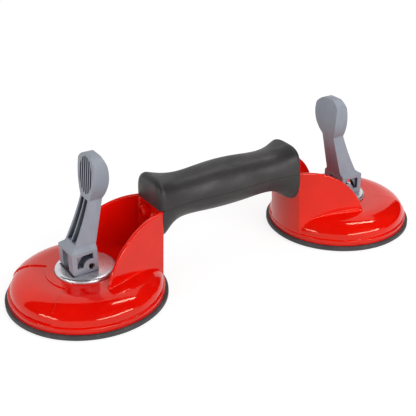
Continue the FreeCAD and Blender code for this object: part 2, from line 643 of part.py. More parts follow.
def arm_pockets():
    """Two long hollows in the outward face of the arm, with a rib between them."""
    low, high = ARM_POCKET_LOW, ARM_POCKET_HIGH
    slope = (NECK_BACK - LEVER_FOOT_BACK) / (NECK_BEND_Z - LEVER_FOOT_RISE)

    def floor(z):
        return LEVER_FOOT_BACK + slope * (z - LEVER_FOOT_RISE) - LEVER_SKIN

    depth = slab_y([(-BIG / 4, low), (floor(low), low), (floor(high), high), (-BIG / 4, high)],
                   (-BIG / 2, BIG / 2))
    rib = LEVER_RIB / 2
    plan = slab_x([(rib, low), (arm_half(low) - LEVER_RAIL, low), (arm_half(high) - LEVER_RAIL, high),
                   (rib, high)], (-BIG / 2, BIG / 2))
    pocket = depth.common(plan)
    return [pocket, mirrored_y(pocket)]


def face_x(z):
    """Outward face of the thumb pad at height z above the pin."""
    slope = (FACE_TOP_X - NECK_FRONT) / (FACE_TOP_Z - NECK_BEND_Z)
    return NECK_FRONT + slope * (z - NECK_BEND_Z)


def grip_slots():
    """Upright slots in the thumb pad's outward face, cut off by a plain oval ring."""
    centre = Vector(0, 0, (PADDLE_LOW + PADDLE_TOP) / 2 + GRIP_OVAL_RAISE)
    tall = (PADDLE_TOP - PADDLE_LOW) / 2 - GRIP_RING
    wide = PADDLE_HALF - GRIP_RING
    ring = Part.Ellipse(centre + Vector(0, 0, tall), centre + Vector(0, wide, 0), centre)
    oval = Part.Face(Part.Wire([ring.toShape()])).extrude(Vector(BIG / 4, 0, 0))
    low, high = PADDLE_LOW - 5, PADDLE_TOP + 5
    depth = slab_y([(face_x(low) - 5, low), (face_x(low) + GRIP_SLOT_DEPTH, low),
                    (face_x(high) + GRIP_SLOT_DEPTH, high), (face_x(high) - 5, high)], (-BIG / 2, BIG / 2))
    region = oval.common(depth)
    slots = []
    for index in range(GRIP_SLOTS):
        middle = (index - (GRIP_SLOTS - 1) / 2) * GRIP_SLOT_PITCH
        bar = box((-BIG, BIG), (middle - GRIP_SLOT_WIDTH / 2, middle + GRIP_SLOT_WIDTH / 2), (-BIG, BIG))
        slots.append(region.common(bar))
    return slots


def foot_windows():
    """Square recess in each side of the foot with a curved slot round the pin's boss."""
    cuts = []
    top = LEVER_SLOT_TOP
    outline = [(-WINDOW_REACH, WINDOW_SILL), (WINDOW_BACK, WINDOW_SILL), (WINDOW_BACK, top),
               (-WINDOW_REACH, top - WINDOW_FALL)]
    boss = cylinder(PIN_BOSS_RADIUS, -BIG, BIG, "y")
    arc = cylinder(PIN_BOSS_RADIUS + ARC_SLOT_WIDTH, -BIG, BIG, "y")
    recess = slab_y(outline, (LEVER_BASE_HALF - WINDOW_DEPTH, LEVER_BASE_HALF + 1)).cut(boss)
    slot = slab_y(outline, (0, LEVER_BASE_HALF)).common(arc).cut(boss)
    for cut in (recess, slot):
        cuts.append(cut)
        cuts.append(mirrored_y(cut))
    return cuts


def lever():
    """Cam lever: forked foot with a rounded toe, ribbed arm and oval thumb pad."""
    body = lever_side().common(lever_front())
    slot_half = STEM_FLAT_WIDTH / 2 + LEVER_SLOT_CLEARANCE
    fork = box((-BIG, BIG), (-slot_half, slot_half), (-BIG, LEVER_SLOT_TOP))
    hole = cylinder(PIN_RADIUS + PIN_RUNNING_CLEARANCE, -BIG, BIG, "y")
    for cut in [fork, hole] + arm_pockets() + grip_slots() + foot_windows():
        body = body.cut(cut)
    body = tidy(body)
    body.translate(Vector(0, 0, PIN_Z))
    return body


# ---------------------------------------------------------------- handle
def shell_section(station, x, up, inset):
    """Half superellipse over (`up` = 1) or under (`up` = -1) the parting plane, closed below."""
    half_width = station[0] - inset
    height = (station[1] if up > 0 else station[2]) - inset
    power = 2.0 / station[3]
    points = []
    for step in range(2 * SECTION_POINTS - 1):
        angle = math.pi * step / (2 * SECTION_POINTS - 2)
        turn, lift = round(math.cos(angle), 9), round(math.sin(angle), 9)
        across = math.copysign(abs(turn) ** power, turn)
        points.append(Vector(x, half_width * across, BRACKET_TOP + up * height * lift ** power))
    curve = Part.BSplineCurve()
    curve.interpolate(points)
    return Part.Wire([curve.toShape(), Part.LineSegment(points[-1], points[0]).toShape()])


def shell_solid(up, inset=0.0):
    """Smooth half of the handle, from end to end."""
    half = [(HANDLE_REACH - station[0], station[1:]) for station in HANDLE_STATIONS]
    stations = [(-x, station) for x, station in reversed(half)] + [(0.0, HANDLE_MIDDLE)] + half
    wires = [shell_section(station, x, up, inset) for x, station in stations]
    return Part.makeLoft(wires, True, False)


def shell_screw_places():
    """Positions of the shell screws along the handle."""
    return (-SHELL_SCREW_SPACING, 0.0, SHELL_SCREW_SPACING)


def shell_hollow(up, half_length):
    """Hollow inside one shell with cross ribs and screw bosses left standing."""
    hollow = shell_solid(up, SHELL_WALL).common(box((-half_length, half_length), (-BIG, BIG), (-BIG, BIG)))
    count = int(half_length / SHELL_RIB_SPACING)
    for index in range(-count, count + 1):
        x = (index + 0.5) * SHELL_RIB_SPACING
        hollow = hollow.cut(box((x - SHELL_RIB_THICKNESS / 2, x + SHELL_RIB_THICKNESS / 2), (-BIG, BIG), (-BIG, BIG)))
    for x in shell_screw_places():
        hollow = hollow.cut(cylinder(SHELL_BOSS_RADIUS, -BIG, BIG, "z", (x, 0)))
    return hollow


def placed(shape, side):
    """Set one cup's piece at the left (-1) or right (+1) end of the handle."""
    copy = shape.copy()
    if side > 0:
        copy.rotate(Vector(0, 0, 0), Vector(0, 0, 1), 180)
    copy.translate(Vector(side * CUP_SPACING / 2, 0, 0))
    return copy


def handle_upper_shell():
    """Upper shell, resting on both brackets and overhanging them inward."""
    shell = shell_solid(1).common(box((-HANDLE_REACH, HANDLE_REACH), (-BIG, BIG), (-BIG, BIG)))
    ends = [edge for edge in shell.Edges
            if all(abs(abs(p.x) - HANDLE_REACH) < 0.01 for p in sampled(edge))
            and edge.CenterOfMass.z > BRACKET_TOP + 1]
    shell = shell.makeFillet(HANDLE_END_ROUND, ends)
    shell = shell.cut(shell_hollow(1, HANDLE_REACH - SHELL_CAP))
    for x in shell_screw_places():
        pilot = cylinder(SHELL_SCREW_RADIUS + THREAD_CLEARANCE, BRACKET_TOP,
                         BRACKET_TOP + SHELL_SCREW_BITE + 1, "z", (x, 0))
        shell = shell.cut(pilot)
    return shell


def handle_lower_shell():
    """Lower shell, fitted between the brackets' back walls, with blocks for the brass inserts."""
    shell = shell_solid(-1)
    for side in (-1, 1):
        shell = shell.cut(placed(bracket_block(-SHELL_GAP, 0.0), side))
    foot = CUP_SPACING / 2 - BRACKET_FOOT_RADIUS - BRACKET_LEAN
    shell = shell.common(box((-foot - SHELL_TRIM, foot + SHELL_TRIM), (-BIG, BIG), (-BIG, BIG)))
    shell = shell.cut(shell_hollow(-1, foot - SHELL_BLOCK))
    start = insert_start()
    for side in (-1, 1):
        for y in handle_screw_places():
            place = (y, HANDLE_SCREW_Z)
            clearance = cylinder(HANDLE_SCREW_RADIUS + HANDLE_SCREW_CLEARANCE, 0,
                                 HANDLE_BOSS_FACE + HANDLE_SCREW_LENGTH + 1, "x", place)
            seat = cylinder(NUT_RADIUS, start, start + NUT_LENGTH, "x", place)
            shell = shell.cut(placed(clearance, side)).cut(placed(seat, side))
    for x in shell_screw_places():
        bore = cylinder(SHELL_SCREW_RADIUS + SHELL_SCREW_CLEARANCE, 0, BRACKET_TOP, "z", (x, 0))
        seat = cylinder(SHELL_SCREW_HEAD_RADIUS + SHELL_SCREW_CLEARANCE, 0,
                        BRACKET_TOP - SHELL_SCREW_SEAT, "z", (x, 0))
        shell = shell.cut(bore).cut(seat)
    return shell


def shell_screws():
    """Three screws that draw the two shells together from below."""
    screws = []
    seat = BRACKET_TOP - SHELL_SCREW_SEAT
    for x in shell_screw_places():
        head = cylinder(SHELL_SCREW_HEAD_RADIUS, seat - SHELL_SCREW_HEAD, seat, "z", (x, 0))
        shank = cylinder(SHELL_SCREW_RADIUS, seat, BRACKET_TOP + SHELL_SCREW_BITE, "z", (x, 0))
        slot = SHELL_SCREW_RADIUS * 0.4
        drive = box((x - SHELL_SCREW_RADIUS, x + SHELL_SCREW_RADIUS), (-slot, slot),
                    (seat - SHELL_SCREW_HEAD - 1, seat - SHELL_SCREW_HEAD / 2))
        cross = drive.copy()
        cross.rotate(Vector(x, 0, 0), Vector(0, 0, 1), 90)
        screws.append(head.fuse(shank).cut(drive).cut(cross))
    return Part.makeCompound(screws)


# ---------------------------------------------------------------- export
CUP_PIECES = {
    "cup_body": cup_body,
    "rubber_pad": rubber_pad,
    "pad_insert": pad_insert,
    "lift_stem": lift_stem,
    "cam_plate": cam_plate,
    "lever": lever,
    "pivot_pin": pivot_pin,
    "handle_screws": handle_screws,
    "threaded_inserts": threaded_inserts,
}
HANDLE_PIECES = {
    "handle_lower_shell": handle_lower_shell,
    "handle_upper_shell": handle_upper_shell,
    "shell_screws": shell_screws,
}
SIDES = {"left": -1, "right": 1}


def main():
    """Write every piece to its own file."""
    os.makedirs("parts", exist_ok=True)
    for name, build in CUP_PIECES.items():
        shape = build()
        for side_name, side in SIDES.items():
            placed(shape, side).exportStep("parts/%s_%s.step" % (name, side_name))
    for name, build in HANDLE_PIECES.items():
        build().exportStep("parts/%s.step" % name)
    print("lift of the stem over the whole fold", round(LIFT, 2))


main()
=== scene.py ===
"""Dresses the two-cup suction lifter: a grip handle between two red cups with folding cam levers.

Lengths are metres in the model's own frame: X runs along the handle, Y across it, and Z up from
the floor.
"""

import logging
import math
from dataclasses import dataclass
from enum import Enum
from typing import Optional, Sequence, Union

import bmesh
import bpy
import numpy as np
from mathutils import Matrix, Vector


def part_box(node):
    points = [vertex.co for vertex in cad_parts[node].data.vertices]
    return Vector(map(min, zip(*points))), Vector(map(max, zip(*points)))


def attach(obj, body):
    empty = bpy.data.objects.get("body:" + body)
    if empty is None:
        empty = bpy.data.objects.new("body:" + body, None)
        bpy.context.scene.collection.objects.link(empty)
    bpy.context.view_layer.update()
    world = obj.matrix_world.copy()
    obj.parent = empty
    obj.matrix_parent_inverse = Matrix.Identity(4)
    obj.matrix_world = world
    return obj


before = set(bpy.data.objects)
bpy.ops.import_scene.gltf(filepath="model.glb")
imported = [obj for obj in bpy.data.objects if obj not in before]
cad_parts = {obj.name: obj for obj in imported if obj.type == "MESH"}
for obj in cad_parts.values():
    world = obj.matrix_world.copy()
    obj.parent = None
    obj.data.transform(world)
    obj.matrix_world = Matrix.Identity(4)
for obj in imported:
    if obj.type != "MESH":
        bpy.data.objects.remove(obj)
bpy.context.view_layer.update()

LOG = logging.getLogger("lifter")
MM = 0.001

Pair = tuple[float, float]
Point = tuple[float, float, float]
Colour = tuple[float, float, float, float]

WHITE: Colour = (1.0, 1.0, 1.0, 1.0)


def paint(red: int, green: int, blue: int) -> Colour:
    """Turns a screen colour into the linear colour that shaders use, by the sRGB curve.

    Args:
        red: the red channel, 0 to 255.
        green: the green channel, 0 to 255.
        blue: the blue channel, 0 to 255.

    Returns:
        The linear colour, opaque.
    """
    levels = np.array([red, green, blue]) / 255.0
    linear = np.where(levels <= 0.04045, levels / 12.92, ((levels + 0.055) / 1.055) ** 2.4)
    return (float(linear[0]), float(linear[1]), float(linear[2]), 1.0)


class Side(Enum):
    """Which cup a piece belongs to, with the sign of its X."""

    LEFT = -1
    RIGHT = 1

    @property
    def tag(self) -> str:
        """The word that ends the names of this side's nodes."""
        return self.name.lower()


# ------------------------------------------------------------------ shader graphs


class Link:
    """Wraps one output socket, so that an expression on it adds Math nodes."""

    def __init__(self, graph: "Graph", socket: bpy.types.NodeSocket) -> None:
        """Keeps the socket and the graph that it belongs to."""
        self.graph = graph
        self.socket = socket

    def __add__(self, other: "Number") -> "Link":
        """Adds a number or another link."""
        return self.graph.math("ADD", self, other)

    __radd__ = __add__

    def __sub__(self, other: "Number") -> "Link":
        """Takes a number or another link away."""
        return self.graph.math("SUBTRACT", self, other)

    def __rsub__(self, other: "Number") -> "Link":
        """Takes this link away from a number."""
        return self.graph.math("SUBTRACT", other, self)

    def __mul__(self, other: "Number") -> "Link":
        """Multiplies by a number or another link."""
        return self.graph.math("MULTIPLY", self, other)

    __rmul__ = __mul__

    def apply(self, operation: str, *others: "Number") -> "Link":
        """Runs a Math node's named operation on this link and further operands."""
        return self.graph.math(operation, self, *others)

    def between(self, swing: Pair, result: Pair = (0.0, 1.0)) -> "Link":
        """Maps the ends of a swing smoothly on to those of a result, and holds the ends.

        Args:
            swing: the values that give the result's two ends.
            result: the values that they give.

        Returns:
            The mapped value as a link.
        """
        start = {"From Min": swing[0], "From Max": swing[1]}
        end = {"To Min": result[0], "To Max": result[1]}
        settings = {"interpolation_type": "SMOOTHSTEP"}
        return self.graph.node("ShaderNodeMapRange", settings, {"Value": self, **start, **end})


Number = Union[Link, float, int]
Tint = Union[Link, Colour]


@dataclass(frozen=True)
class Mottle:
    """Soft noise: the size of its blotches in metres, its octaves, and how rough they are."""

    size: float
    octaves: float = 2.0
    rough: float = 0.5


class Graph:
    """The node tree of a material or of the world, filled from expressions."""

    def __init__(self, owner: Union[bpy.types.Material, bpy.types.World]) -> None:
        """Clears the owner's node tree and starts on it.

        Args:
            owner: the material or the world.
        """
        owner.use_nodes = True
        self.owner = owner
        self.tree = owner.node_tree
        self.tree.nodes.clear()

    def node(
        self,
        kind: str,
        settings: Optional[dict] = None,
        inputs: Optional[dict] = None,
        out: Union[int, str] = 0,
    ) -> Link:
        """Adds one node.

        Args:
            kind: the node's type.
            settings: its properties, which are set first.
            inputs: values or links by socket name or number.
            out: the output socket that is wanted.

        Returns:
            That output as a link.
        """
        made = self.tree.nodes.new(kind)
        for key, value in (settings or {}).items():
            setattr(made, key, value)
        for key, value in (inputs or {}).items():
            if isinstance(value, Link):
                self.tree.links.new(value.socket, made.inputs[key])
            else:
                made.inputs[key].default_value = value
        return Link(self, made.outputs[out])

    def math(self, operation: str, *operands: Number) -> Link:
        """Adds a Math node for an operation on links and numbers."""
        return self.node("ShaderNodeMath", {"operation": operation}, dict(enumerate(operands)))

    def place(self, centre: Point = (0.0, 0.0, 0.0), scale: Point = (1.0, 1.0, 1.0)) -> Link:
        """The point on the surface in metres from a centre, scaled per axis.

        Args:
            centre: the point that becomes the origin.
            scale: the factor for each axis.

        Returns:
            The point as a vector link.
        """
        point = self.node("ShaderNodeTexCoord", out="Object")
        offset = tuple(-c * s for c, s in zip(centre, scale))
        inputs = {"Vector": point, "Location": offset, "Scale": scale}
        return self.node("ShaderNodeMapping", inputs=inputs)

    def axis(self, point: Link, name: str) -> Link:
        """The X, Y or Z of a point."""
        return self.node("ShaderNodeSeparateXYZ", inputs={0: point}, out=name)

    def noise(self, point: Link, mottle: Mottle) -> Link:
        """Soft noise from 0 to 1."""
        inputs = {"Scale": 1.0 / mottle.size, "Detail": mottle.octaves, "Roughness": mottle.rough}
        return self.node("ShaderNodeTexNoise", inputs={"Vector": point, **inputs})

    def rings(self, radius: Link, mottle: Mottle) -> Link:
        """Noise from 0 to 1 that varies with the radius alone."""
        inputs = {"W": radius, "Scale": 1.0 / mottle.size, "Detail": mottle.octaves}
        return self.node("ShaderNodeTexNoise", {"noise_dimensions": "1D"}, inputs)

    def cells(self, point: Link, size: float) -> Link:
        """Distance to the nearest of random points about size metres apart."""
        inputs = {"Vector": point, "Scale": 1.0 / size}
        return self.node("ShaderNodeTexVoronoi", inputs=inputs, out="Distance")

    def blend(self, factor: Number, first: "Tint", second: "Tint") -> Link:
        """Mixes two colours by a factor of 0 to 1.

        Args:
            factor: the share of the second colour.
            first: the colour at 0.
            second: the colour at 1.

        Returns:
            The mixed colour as a link.
        """
        settings = {"data_type": "RGBA", "clamp_factor": True}
        # Sockets 6 and 7 are the node's two colours, and its output 2 is their mix.
        return self.node("ShaderNodeMix", settings, {0: factor, 6: first, 7: second}, 2)

    def bump(self, height: Link, strength: float, depth: float) -> Link:
        """Turns a height of 0 to 1, which stands for depth metres, into a surface normal."""
        inputs = {"Strength": strength, "Distance": depth, "Height": height}
        return self.node("ShaderNodeBump", inputs=inputs)

    def seen(self) -> Link:
        """1 on rays from the camera, in gloss and through glass, and 0 on those that carry light.

        Returns:
            The mask as a link.
        """
        mask = self.node("ShaderNodeLightPath", out="Is Camera Ray")
        for kind in ("Is Glossy Ray", "Is Transmission Ray"):
            mask = mask.apply("MAXIMUM", self.node("ShaderNodeLightPath", out=kind))
        return mask

    def show(self, shader: Link, output: str = "ShaderNodeOutputMaterial") -> None:
        """Sends a shader to the surface socket of an output node."""
        end = self.tree.nodes.new(output)
        self.tree.links.new(shader.socket, end.inputs["Surface"])

    def finish(self, **inputs: Union[Number, Colour]) -> bpy.types.Material:
        """Adds the surface shader and the output.

        Args:
            inputs: the surface's sockets, with _ for a space in the name.

        Returns:
            The finished material.
        """
        named = {key.replace("_", " "): value for key, value in inputs.items()}
        self.show(self.node("ShaderNodeBsdfPrincipled", inputs=named))
        return self.owner


# ------------------------------------------------------------------ finishes


@dataclass(frozen=True)
class RedEnamel:
    """Glossy red stoving enamel on the die-cast cups, with a faint orange peel."""

    colour: Colour = paint(244, 18, 4)
    deep: Colour = paint(228, 10, 3)
    sheen: Colour = (1.0, 0.80, 0.58, 1.0)
    index: float = 1.5
    drift: Mottle = Mottle(45 * MM, 3.0)
    drift_swing: Pair = (0.35, 0.7)
    smear: Mottle = Mottle(9 * MM, 4.0)
    smear_swing: Pair = (0.3, 0.75)
    roughness: Pair = (0.06, 0.14)
    peel: Mottle = Mottle(2.4 * MM, 1.0)
    peel_strength: float = 0.06
    peel_depth: float = 0.04 * MM

    def material(self) -> bpy.types.Material:
        """Builds the enamel: a slow drift of colour, an uneven gloss and the orange peel's bump.

        Returns:
            The material.
        """
        graph = Graph(bpy.data.materials.new("red_enamel"))
        point = graph.place()
        drift = graph.noise(point, self.drift).between(self.drift_swing)
        peel = graph.noise(point, self.peel)
        return graph.finish(
            Base_Color=graph.blend(drift, self.deep, self.colour),
            Roughness=graph.noise(point, self.smear).between(self.smear_swing, self.roughness),
            Normal=graph.bump(peel, self.peel_strength, self.peel_depth),
            Specular_Tint=self.sheen,
            IOR=self.index,
        )


@dataclass(frozen=True)
class GreyPlastic:
    """Satin grey moulded plastic of the levers."""

    colour: Colour = paint(148, 154, 166)
    pale: Colour = paint(158, 164, 175)
    # The colour that the pockets are painted towards as shade.
    shade: Colour = paint(70, 74, 90)
    index: float = 1.48
    flow: Mottle = Mottle(11 * MM, 4.0, 0.6)
    flow_stretch: Point = (1.0, 1.0, 0.25)
    flow_swing: Pair = (0.35, 0.7)
    shade_reach: float = 8 * MM
    shade_rays: int = 12
    shade_swing: Pair = (0.3, 0.92)
    polish: Mottle = Mottle(6 * MM, 3.0)
    polish_swing: Pair = (0.3, 0.7)
    roughness: Pair = (0.37, 0.49)
    grain: Mottle = Mottle(0.35 * MM)
    grain_strength: float = 0.22
    grain_depth: float = 0.05 * MM

    def material(self) -> bpy.types.Material:
        """Builds the plastic: flow marks, painted shade in its pockets from ambient occlusion, an
        eroded grain and an uneven polish.

        Returns:
            The material.
        """
        graph = Graph(bpy.data.materials.new("grey_plastic"))
        point = graph.place()
        flow = graph.noise(graph.place(scale=self.flow_stretch), self.flow)
        colour = graph.blend(flow.between(self.flow_swing), self.colour, self.pale)
        # Painted shade: ambient occlusion darkens the base colour in pockets and recesses, where
        # less light falls.
        rays = {"samples": self.shade_rays}
        open_air = graph.node(
            "ShaderNodeAmbientOcclusion", rays, {"Distance": self.shade_reach}, "AO"
        )
        painted_shade = open_air.between(self.shade_swing, (1.0, 0.0))
        gloss = graph.noise(point, self.polish).between(self.polish_swing, self.roughness)
        grain = graph.noise(point, self.grain)
        return graph.finish(
            Base_Color=graph.blend(painted_shade, colour, self.shade),
            Roughness=gloss,
            Normal=graph.bump(grain, self.grain_strength, self.grain_depth),
            IOR=self.index,
        )


@dataclass(frozen=True)
class BlackPlastic:
    """Charcoal handle plastic with a spark-eroded grain, and a dark gap where two shells part."""

    seam: float
    colour: Colour = paint(38, 35, 35)
    worn: Colour = paint(52, 48, 48)
    gap: Colour = paint(14, 13, 13)
    index: float = 1.5
    gap_swing: Pair = (0.25 * MM, 0.6 * MM)
    touch: Mottle = Mottle(14 * MM, 4.0, 0.62)
    touch_stretch: Point = (0.5, 1.0, 1.0)
    worn_swing: Pair = (0.4, 0.7)
    gloss_swing: Pair = (0.35, 0.7)
    roughness: Pair = (0.53, 0.41)
    cell: float = 0.55 * MM
    cell_share: float = 0.6
    fine: Mottle = Mottle(1.3 * MM, 3.0, 0.7)
    grain_strength: float = 0.5
    grain_depth: float = 0.16 * MM

    def material(self) -> bpy.types.Material:
        """Builds the plastic: a cell grain, blotches from gloved hands, and the parting line.

        Returns:
            The material.
        """
        graph = Graph(bpy.data.materials.new("black_plastic"))
        point = graph.place()
        touch = graph.noise(graph.place(scale=self.touch_stretch), self.touch)
        colour = graph.blend(touch.between(self.worn_swing), self.colour, self.worn)
        off_seam = (graph.axis(point, "Z") - self.seam).apply("ABSOLUTE")
        parting = off_seam.between(self.gap_swing, (1.0, 0.0))
        cells = graph.cells(point, self.cell) * self.cell_share
        fine = graph.noise(point, self.fine) * (1.0 - self.cell_share)
        return graph.finish(
            Base_Color=graph.blend(parting, colour, self.gap),
            Roughness=touch.between(self.gloss_swing, self.roughness),
            Normal=graph.bump(cells + fine, self.grain_strength, self.grain_depth),
            IOR=self.index,
        )


@dataclass(frozen=True)
class PadRubber:
    """Dark grey rubber of the suction pads."""

    colour: Colour = paint(62, 58, 60)
    bloom: Colour = paint(86, 82, 84)
    index: float = 1.48
    talc: Mottle = Mottle(8 * MM, 5.0, 0.62)
    bloom_swing: Pair = (0.4, 0.75)
    gloss_swing: Pair = (0.3, 0.75)
    roughness: Pair = (0.54, 0.74)
    grain: Mottle = Mottle(0.5 * MM, 3.0)
    grain_strength: float = 0.3
    grain_depth: float = 0.06 * MM

    def material(self) -> bpy.types.Material:
        """Builds the rubber: a pale bloom in soft blotches and a fine talc-dusted grain.

        Returns:
            The material.
        """
        graph = Graph(bpy.data.materials.new("pad_rubber"))
        point = graph.place()
        talc = graph.noise(point, self.talc)
        grain = graph.noise(point, self.grain)
        return graph.finish(
            Base_Color=graph.blend(talc.between(self.bloom_swing), self.colour, self.bloom),
            Roughness=talc.between(self.gloss_swing, self.roughness),
            Normal=graph.bump(grain, self.grain_strength, self.grain_depth),
            IOR=self.index,
        )


@dataclass(frozen=True)
class TurnedMetal:
    """Bright metal with the fine rings that a lathe or a press leaves about an upright axis."""

    name: str
    colour: Colour
    dull: Colour
    roughness: Pair
    centre: Point = (0.0, 0.0, 0.0)
    metallic: float = 1.0
    ring: Mottle = Mottle(0.5 * MM)
    ring_share: float = 0.4
    ring_strength: float = 0.06
    ring_depth: float = 0.02 * MM
    cloud: Mottle = Mottle(7 * MM, 4.0, 0.6)
    cloud_swing: Pair = (0.35, 0.75)
    gloss_swing: Pair = (0.3, 0.7)

    def material(self) -> bpy.types.Material:
        """Builds the metal: rings by distance from the axis, and a cloudy plating.

        Returns:
            The material.
        """
        graph = Graph(bpy.data.materials.new(self.name))
        point = graph.place(self.centre)
        x, y = graph.axis(point, "X"), graph.axis(point, "Y")
        rings = graph.rings((x * x + y * y).apply("SQRT"), self.ring)
        cloud = graph.noise(point, self.cloud)
        uneven = rings * self.ring_share + cloud * (1.0 - self.ring_share)
        return graph.finish(
            Base_Color=graph.blend(cloud.between(self.cloud_swing), self.colour, self.dull),
            Roughness=uneven.between(self.gloss_swing, self.roughness),
            Metallic=self.metallic,
            Normal=graph.bump(rings, self.ring_strength, self.ring_depth),
        )


# ------------------------------------------------------------------ meshes


def dress(name: str, material: bpy.types.Material) -> None:
    """Gives a CAD node its material.

    Args:
        name: the node's name.
        material: its finish.
    """
    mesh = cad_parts[name].data
    mesh.materials.clear()
    mesh.materials.append(material)
    LOG.info("dressed %s with %s", name, material.name)


def mesh_piece(
    name: str,
    points: np.ndarray,
    faces: np.ndarray,
    body: str,
    material: bpy.types.Material,
    sharp_from: float = 42.0,
) -> None:
    """Makes a smooth piece from points and faces, and rides it on a body.

    Args:
        name: the piece's name.
        points: an (n, 3) array in metres.
        faces: an (m, 4) array of point numbers.
        body: the body that carries it.
        material: its finish.
        sharp_from: the angle in degrees between two faces from which their edge stays sharp.
    """
    mesh = bpy.data.meshes.new(name)
    mesh.from_pydata(points.tolist(), [], faces.tolist())
    mesh.polygons.foreach_set("use_smooth", np.ones(len(faces), dtype=bool))
    mesh.materials.append(material)
    shell = bmesh.new()
    shell.from_mesh(mesh)
    bmesh.ops.recalc_face_normals(shell, faces=shell.faces)
    shell.to_mesh(mesh)
    shell.free()
    mesh.set_sharp_from_angle(angle=math.radians(sharp_from))
    piece = bpy.data.objects.new(name, mesh)
    bpy.context.scene.collection.objects.link(piece)
    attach(piece, body)
    LOG.info("made %s with %d points", name, len(points))


def tube_faces(rings: int, around: int) -> np.ndarray:
    """Quads and end caps of a tube whose points are numbered ring by ring.

    The quad at ring i and place j joins points j and j + 1 of rings i and i + 1. A cap joins
    points a and a + 1 of a ring with the two points across it, so a ring has an even number.

    Args:
        rings: the number of rings along the tube.
        around: the number of points in a ring.

    Returns:
        An (m, 4) array of point numbers.
    """
    i, j = np.meshgrid(np.arange(rings - 1), np.arange(around), indexing="ij")
    here, ahead, after = i * around, (i + 1) * around, (j + 1) % around
    walls = np.stack([here + j, ahead + j, ahead + after, here + after], axis=-1).reshape(-1, 4)
    a = np.arange(around // 2 - 1)
    cap = np.stack([a, a + 1, around - 2 - a, around - 1 - a], axis=-1)
    far = cap[:, ::-1] + (rings - 1) * around
    return np.concatenate([walls, cap, far])


# ------------------------------------------------------------------ sub-assemblies


